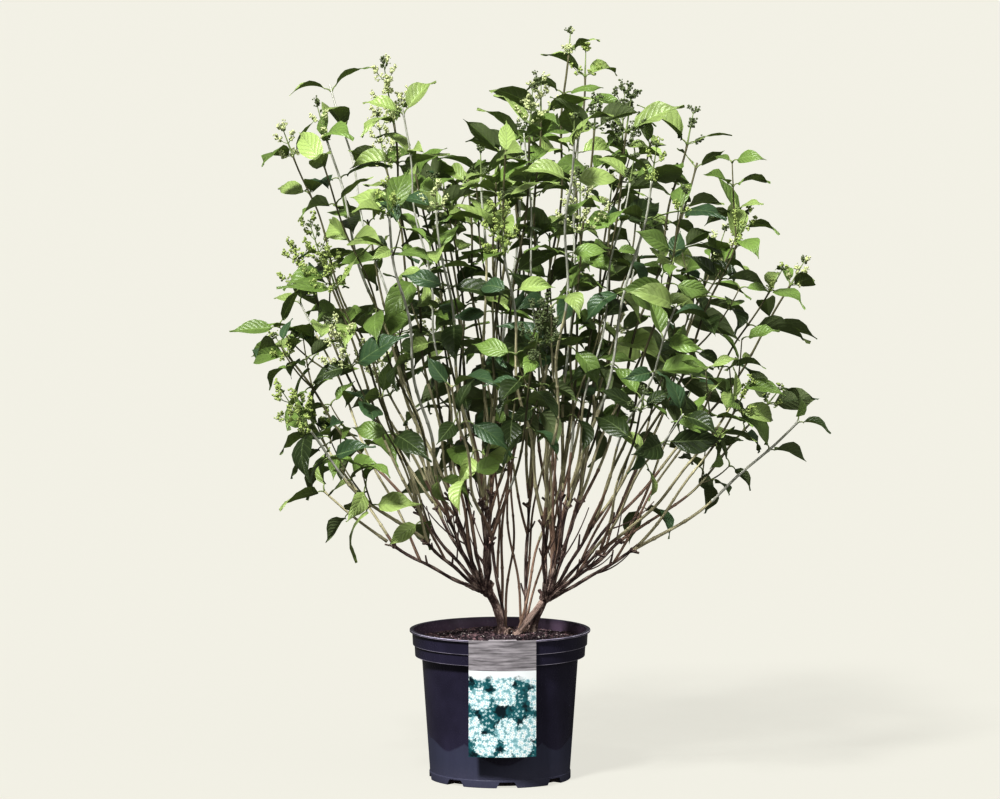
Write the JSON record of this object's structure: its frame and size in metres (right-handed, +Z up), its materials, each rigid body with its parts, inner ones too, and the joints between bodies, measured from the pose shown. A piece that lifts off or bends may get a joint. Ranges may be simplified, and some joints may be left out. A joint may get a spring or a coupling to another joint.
{
  "type": "potted kyushu panicle hydrangea",
  "caption": "Leafy panicle hydrangea shrub with fanning stems and panicles of buds, standing in a stepped round nursery pot filled with soil, with a picture label hooked over its rim.",
  "frame": {"origin": "centre of the pot's flat underside, on the surface it stands on", "axes": "+Z up along the pot's axis, -Y towards the side with the label, +X to the right in that view"},
  "size_m": [0.928, 0.8953, 1.139],
  "materials": {
    "pot_plastic": "semi-gloss",
    "soil": "matte",
    "label_card": "gloss print",
    "bark": "matte bark",
    "foliage": "satin leaf"
  },
  "bodies": {
    "root": {"pot": "pot_plastic", "soil": "soil", "label": "label_card", "stem_left": "bark", "stem_right": "bark", "stem_cross": "bark", "stem_core_1": "bark", "stem_core_2": "bark", "bough_core_3": "bark", "bough_core_4": "bark", "bough_inner_1": "bark", "bough_inner_2": "bark", "bough_inner_3": "bark", "bough_inner_4": "bark", "bough_inner_5": "bark", "bough_inner_6": "bark", "bough_shoulder_1": "bark", "bough_shoulder_2": "bark", "bough_shoulder_3": "bark", "bough_shoulder_4": "bark", "bough_shoulder_5": "bark", "bough_shoulder_6": "bark", "bough_shoulder_7": "bark", "bough_shoulder_8": "bark", "bough_skirt_1": "bark", "bough_skirt_2": "bark", "bough_skirt_3": "bark", "bough_skirt_4": "bark", "bough_skirt_5": "bark", "bough_skirt_6": "bark", "bough_skirt_7": "bark", "bough_skirt_8": "bark", "mass_core_1": "foliage", "mass_core_2": "foliage", "mass_core_3": "foliage", "mass_core_4": "foliage", "mass_inner_1": "foliage", "mass_inner_2": "foliage", "mass_inner_3": "foliage", "mass_inner_4": "foliage", "mass_inner_5": "foliage", "mass_inner_6": "foliage", "mass_shoulder_1": "foliage", "mass_shoulder_2": "foliage", "mass_shoulder_3": "foliage", "mass_shoulder_4": "foliage", "mass_shoulder_5": "foliage", "mass_shoulder_6": "foliage", "mass_shoulder_7": "foliage", "mass_shoulder_8": "foliage", "mass_skirt_1": "foliage", "mass_skirt_2": "foliage", "mass_skirt_3": "foliage", "mass_skirt_4": "foliage", "mass_skirt_5": "foliage", "mass_skirt_6": "foliage", "mass_skirt_7": "foliage", "mass_skirt_8": "foliage"}
  },
  "joints": []
}
